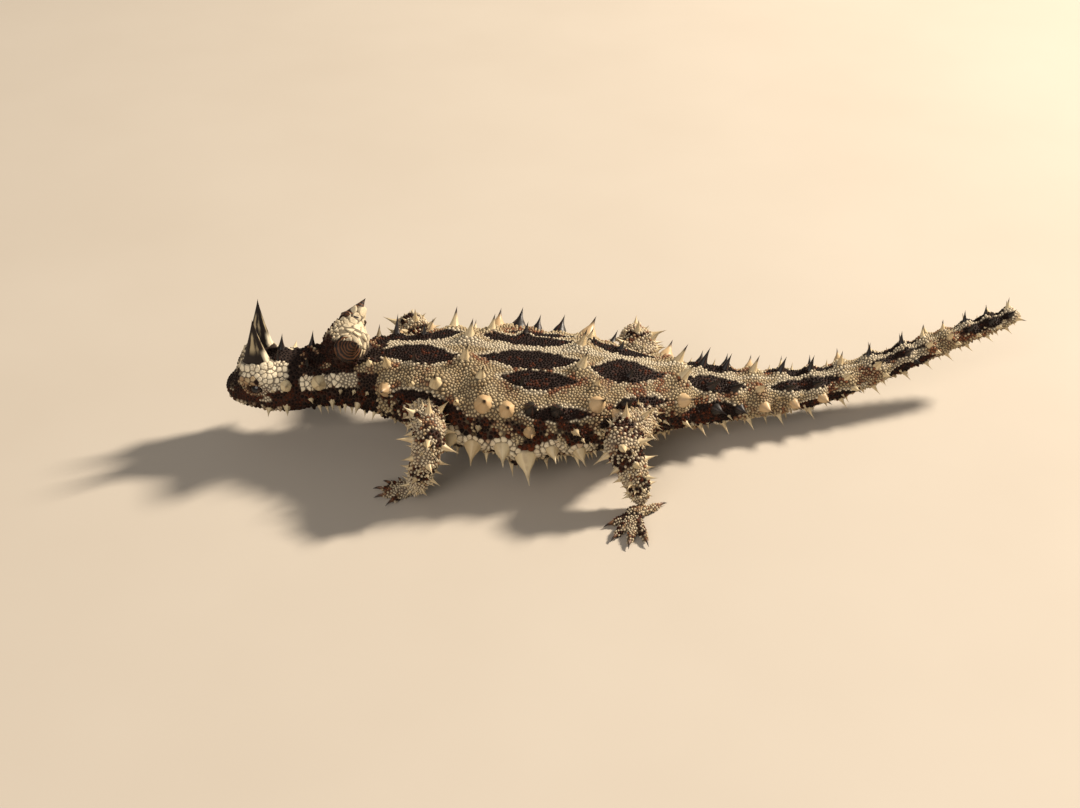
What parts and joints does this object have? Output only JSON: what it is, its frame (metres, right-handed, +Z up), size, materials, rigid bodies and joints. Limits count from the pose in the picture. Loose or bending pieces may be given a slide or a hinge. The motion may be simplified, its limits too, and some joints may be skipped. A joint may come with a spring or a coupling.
{
  "type": "thorny devil",
  "caption": "Life-size still model of a thorny devil lizard standing with its tail raised, covered in conical spines, for display.",
  "frame": {"origin": "under the middle of the animal's bounding box, on the plane of its soles", "axes": "+Z up, -X the way the head faces, -Y the animal's left side"},
  "size_m": [0.1842, 0.078, 0.0331],
  "materials": {
    "skin": "matte, pale scales with maroon-brown blotches",
    "horn": "satin, dark horn with pale streaks",
    "eyes": "gloss",
    "claws": "satin"
  },
  "bodies": {
    "root": {"head": "skin", "eye_left": "eyes", "brow_horn_left": "horn", "eye_right": "eyes", "brow_horn_right": "horn", "neck": "skin", "neck_knob": "skin", "torso": "skin", "tail_base": "skin", "tail_middle": "skin", "tail_tip": "skin", "foreleg_left_upper": "skin", "foreleg_left_lower": "skin", "foreleg_left_foot": "skin", "foreleg_right_upper": "skin", "foreleg_right_lower": "skin", "foreleg_right_foot": "skin", "hindleg_left_upper": "skin", "hindleg_left_lower": "skin", "hindleg_left_foot": "skin", "hindleg_right_upper": "skin", "hindleg_right_lower": "skin", "hindleg_right_foot": "skin"}
  },
  "joints": []
}
